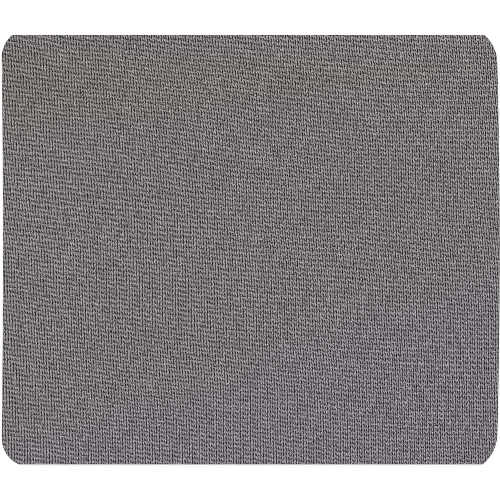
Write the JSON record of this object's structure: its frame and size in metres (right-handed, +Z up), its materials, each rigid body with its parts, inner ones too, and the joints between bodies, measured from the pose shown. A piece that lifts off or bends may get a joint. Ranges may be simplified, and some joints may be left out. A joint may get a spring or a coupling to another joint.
{
  "type": "mouse pad",
  "caption": "Flat rectangular mouse pad with rounded corners and raw cut edges: a grey knit cloth face laminated to a black sponge rubber base with a non-slip underside.",
  "frame": {"origin": "middle of the pad's plan box, on the plane that the underside rests on", "axes": "+X across the pad to the right of the user, +Y away from the user to the rear edge, +Z up through the cloth"},
  "size_m": [0.2292, 0.1976, 0.0063],
  "materials": {
    "knit_cloth": "matte grey polyester jersey knit",
    "laminating_adhesive": "cured adhesive film, slightly glossy at its cut edge",
    "sponge_rubber": "matte black sponge, open cells on the cut wall"
  },
  "bodies": {
    "root": {"cover_cloth": "knit_cloth", "bond_film": "laminating_adhesive", "sponge_base": "sponge_rubber"}
  },
  "joints": []
}
